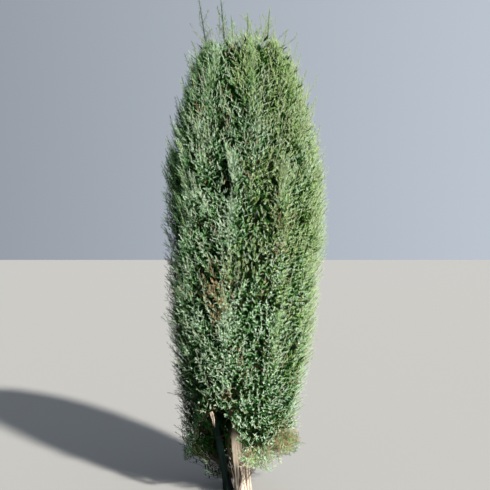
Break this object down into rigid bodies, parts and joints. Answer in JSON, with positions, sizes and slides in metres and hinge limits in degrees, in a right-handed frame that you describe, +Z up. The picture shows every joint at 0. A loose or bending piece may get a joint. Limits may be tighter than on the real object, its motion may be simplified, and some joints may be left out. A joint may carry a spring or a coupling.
{
  "type": "swedish juniper tree",
  "caption": "Columnar swedish juniper: a grey trunk, a leaning side stem and a broken stub under a dense, blunt column of upright blue-green foliage with thin leaders.",
  "frame": {"origin": "centre of the flat cut under the trunk, at ground level", "axes": "+Z up along the trunk, -Y towards the side that the picture shows, where the foliage is raised over the stems, +X to that view's right"},
  "size_m": [1.0843, 1.037, 3.1923],
  "materials": {
    "bark": "weathered, fibrous, matt",
    "foliage": "blue-green needles, matt",
    "young_foliage": "yellow-green needles, matt"
  },
  "bodies": {
    "root": {"trunk": "bark", "side_stem": "bark", "broken_stub": "bark", "skirt_1": "foliage", "skirt_2": "foliage", "skirt_3": "foliage", "skirt_4": "foliage", "skirt_5": "foliage", "skirt_6": "foliage", "skirt_7": "foliage", "skirt_8": "foliage", "flank_1": "foliage", "flank_2": "foliage", "flank_3": "foliage", "flank_4": "foliage", "flank_5": "foliage", "flank_6": "foliage", "flank_7": "foliage", "flank_8": "foliage", "flank_9": "foliage", "shoulder_1": "foliage", "shoulder_2": "foliage", "shoulder_3": "foliage", "shoulder_4": "foliage", "shoulder_5": "foliage", "shoulder_6": "foliage", "shoulder_7": "foliage", "shoulder_8": "foliage", "leader_1": "young_foliage", "leader_2": "young_foliage", "leader_3": "young_foliage", "leader_4": "young_foliage", "leader_5": "young_foliage", "leader_6": "young_foliage"}
  },
  "joints": []
}
